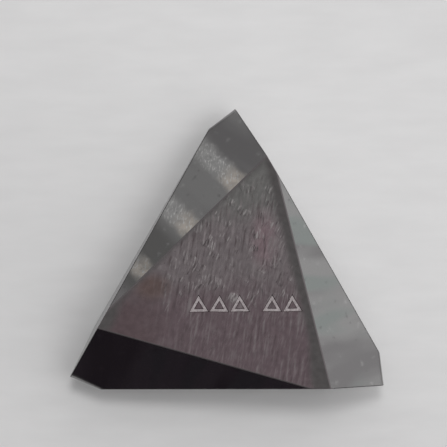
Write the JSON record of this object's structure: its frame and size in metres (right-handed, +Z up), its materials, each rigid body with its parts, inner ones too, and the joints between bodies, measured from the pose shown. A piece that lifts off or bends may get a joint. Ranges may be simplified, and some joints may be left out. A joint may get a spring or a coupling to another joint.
{
  "type": "threading insert",
  "caption": "Flat triangular cemented carbide threading insert for standing on edge, with a ground 60-degree V nose at each corner and long sloping relief facets on both faces.",
  "frame": {"origin": "centre of the lower face, on the three-fold axis, where the insert lies on a flat surface", "axes": "+Z up through the thickness; +X along the wall that faces -Y, towards its nose"},
  "size_m": [0.0204, 0.018, 0.0048],
  "materials": {
    "ground_carbide": "ground and worn, dark grey with a brown tint"
  },
  "bodies": {
    "root": {"threading_insert": "ground_carbide"}
  },
  "joints": []
}
